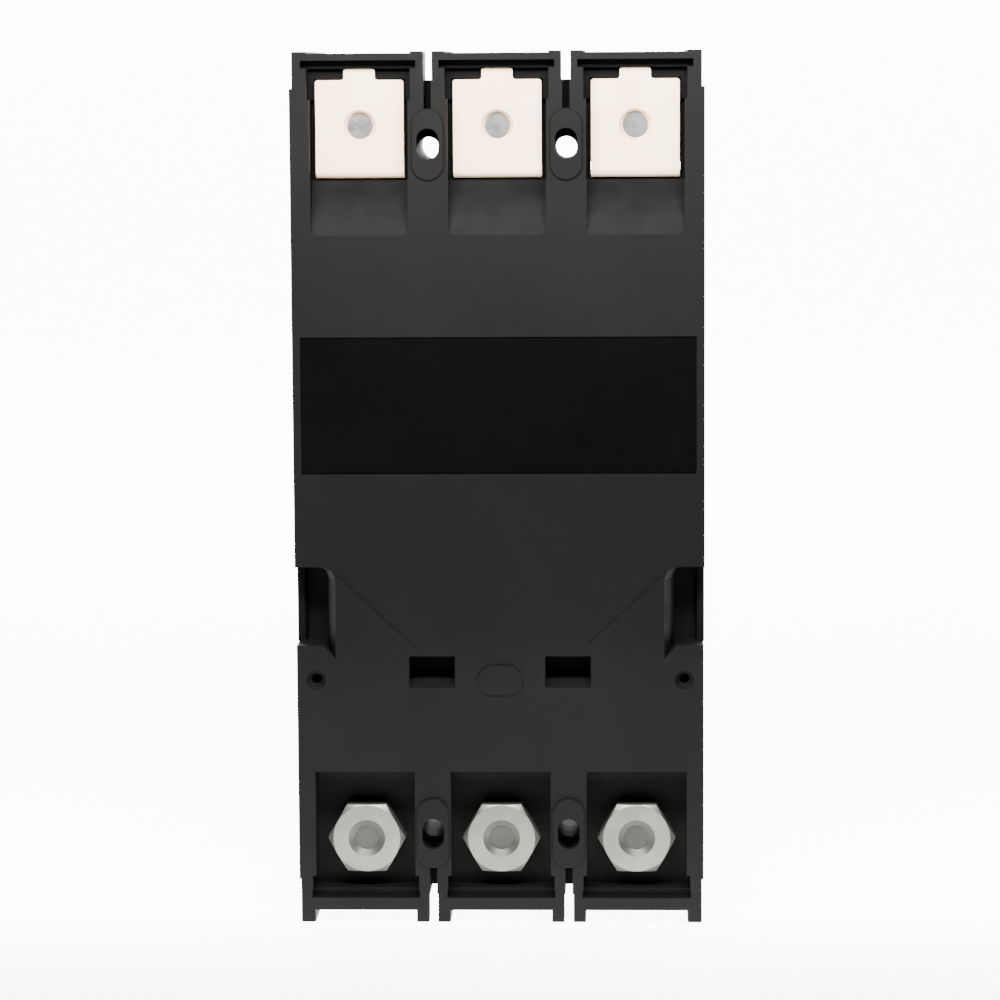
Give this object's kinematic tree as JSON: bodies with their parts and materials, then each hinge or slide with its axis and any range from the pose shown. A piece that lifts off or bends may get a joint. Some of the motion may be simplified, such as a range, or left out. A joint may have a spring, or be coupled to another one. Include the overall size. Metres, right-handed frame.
{
  "type": "molded case circuit breaker",
  "caption": "Multi-pole molded case circuit breaker with a toggle handle, plated line straps, load terminal nuts, arc chutes and a thermal-magnetic trip unit.",
  "frame": {"origin": "Centre of the four panel-screw holes, on the plane of the rear pads.", "axes": "+Z towards the line terminals, -Y out of the front cover towards the handle, +X to the right when the front is faced."},
  "size_m": [0.1142, 0.1226, 0.2436],
  "materials": {
    "case_black": "fine moulded satin",
    "cover_black": "fine moulded satin",
    "handle_black": "moulded satin",
    "plate_black": "dull printed board",
    "rating_grey": "blank satin film",
    "tin_plate": "matt tin plating",
    "nickel_steel": "nickel plated",
    "zinc_steel": "zinc plated",
    "plain_steel": "bare, lightly oiled",
    "dark_steel": "phosphated",
    "spring_steel": "drawn wire",
    "copper": "bare copper",
    "silver_tip": "sintered silver",
    "arc_fibre": "vulcanised fibre",
    "moulded_brown": "moulded phenolic",
    "face_grey": "satin",
    "knob_grey": "satin",
    "button_red": "moulded gloss"
  },
  "bodies": {
    "case": {"arc_baffle_centre": "arc_fibre", "arc_baffle_left": "arc_fibre", "arc_baffle_right": "arc_fibre", "arc_plates_centre": "nickel_steel", "arc_plates_left": "nickel_steel", "arc_plates_right": "nickel_steel", "arc_side_sheets_centre": "arc_fibre", "arc_side_sheets_left": "arc_fibre", "arc_side_sheets_right": "arc_fibre", "bimetals": "nickel_steel", "cover_screws": "zinc_steel", "cradle": "dark_steel", "fixed_contact_tips": "silver_tip", "flexible_braids": "copper", "frame_pins": "dark_steel", "frame_plate_left": "zinc_steel", "frame_plate_right": "zinc_steel", "front_cover": "cover_black", "handle_bezel": "cover_black", "line_strap_centre": "tin_plate", "line_strap_left": "tin_plate", "line_strap_right": "tin_plate", "line_terminal_screws": "zinc_steel", "load_nut_centre": "nickel_steel", "load_nut_left": "nickel_steel", "load_nut_right": "nickel_steel", "load_strap_centre": "tin_plate", "load_strap_left": "tin_plate", "load_strap_right": "tin_plate", "load_terminal_screws": "plain_steel", "magnet_yokes": "dark_steel", "rating_plate": "rating_grey", "rear_base": "case_black", "rear_insulation_plate": "plate_black", "trip_button_spring": "spring_steel", "trip_unit_faceplate": "face_grey", "trip_unit_housing": "moulded_brown"},
    "handle": {"toggle_handle": "handle_black", "handle_yoke": "zinc_steel", "main_springs": "spring_steel"},
    "contact_shaft": {"crossbar": "moulded_brown", "contact_blade_left": "copper", "contact_blade_centre": "copper", "contact_blade_right": "copper", "moving_contact_tips": "silver_tip", "contact_springs": "spring_steel", "crank_pins": "dark_steel"},
    "upper_link_pair": {"upper_links": "dark_steel", "knee_pin": "dark_steel"},
    "lower_link_pair": {"lower_links": "dark_steel"},
    "button": {"trip_button": "button_red"},
    "trip_shaft": {"trip_bar": "moulded_brown"},
    "latch_lever": {"latch": "dark_steel"},
    "knob_left": {"adjust_knob_left": "knob_grey"},
    "armature_left": {"armature_left": "dark_steel"},
    "knob_centre": {"adjust_knob_centre": "knob_grey"},
    "armature_centre": {"armature_centre": "dark_steel"},
    "knob_right": {"adjust_knob_right": "knob_grey"},
    "armature_right": {"armature_right": "dark_steel"}
  },
  "joints": [
    {"name": "handle_swing", "type": "hinge", "parent": "case", "child": "handle", "pos_m": [0, -0.047, 0.001], "axis": [-1, 0, 0], "range_deg": [0, 32]},
    {"name": "contact_shaft_turn", "type": "hinge", "parent": "case", "child": "contact_shaft", "pos_m": [0, -0.036, -0.006], "axis": [-1, 0, 0], "range_deg": [0, 26.05], "deforming": ["flexible_braids"]},
    {"name": "upper_link_swing", "type": "hinge", "parent": "case", "child": "upper_link_pair", "pos_m": [0, -0.066, 0.008], "axis": [1, 0, 0], "range_deg": [0, 31.2]},
    {"name": "lower_link_swing", "type": "hinge", "parent": "contact_shaft", "child": "lower_link_pair", "pos_m": [0, -0.04573, 0.00483], "axis": [1, 0, 0], "range_deg": [0, 15.6]},
    {"name": "button_push", "type": "slide", "parent": "case", "child": "button", "axis": [0, 1, 0], "range_m": [0, 0.0024], "stiffness_N_per_m": 600, "deforming": ["trip_button_spring"]},
    {"name": "trip_shaft_turn", "type": "hinge", "parent": "case", "child": "trip_shaft", "pos_m": [0, -0.072, -0.041], "axis": [1, 0, 0], "range_deg": [0, 12]},
    {"name": "latch_turn", "type": "hinge", "parent": "case", "child": "latch_lever", "pos_m": [0, -0.064, -0.0194], "axis": [1, 0, 0], "range_deg": [0, 8]},
    {"name": "knob_left_turn", "type": "hinge", "parent": "case", "child": "knob_left", "pos_m": [-0.018, -0.0826, -0.0615], "axis": [0, -1, 0], "range_deg": [-135, 135]},
    {"name": "armature_left_pull", "type": "hinge", "parent": "case", "child": "armature_left", "pos_m": [-0.0381, -0.04, -0.0662], "axis": [-1, 0, 0], "range_deg": [0, 8], "stiffness_Nm_per_rad": 0.02},
    {"name": "knob_centre_turn", "type": "hinge", "parent": "case", "child": "knob_centre", "pos_m": [0, -0.0826, -0.0615], "axis": [0, -1, 0], "range_deg": [-135, 135]},
    {"name": "armature_centre_pull", "type": "hinge", "parent": "case", "child": "armature_centre", "pos_m": [0, -0.04, -0.0662], "axis": [-1, 0, 0], "range_deg": [0, 8], "stiffness_Nm_per_rad": 0.02},
    {"name": "knob_right_turn", "type": "hinge", "parent": "case", "child": "knob_right", "pos_m": [0.018, -0.0826, -0.0615], "axis": [0, -1, 0], "range_deg": [-135, 135]},
    {"name": "armature_right_pull", "type": "hinge", "parent": "case", "child": "armature_right", "pos_m": [0.0381, -0.04, -0.0662], "axis": [-1, 0, 0], "range_deg": [0, 8], "stiffness_Nm_per_rad": 0.02}
  ],
  "couplings": [
    {"joint": "contact_shaft_turn", "follows": "handle_swing", "ratio": 0.8125},
    {"joint": "upper_link_swing", "follows": "handle_swing", "ratio": 0.97183},
    {"joint": "lower_link_swing", "follows": "handle_swing", "ratio": 0.46408},
    {"joint": "trip_shaft_turn", "follows": "button_push", "rad_per_m": 87},
    {"joint": "latch_turn", "follows": "button_push", "rad_per_m": 58}
  ]
}
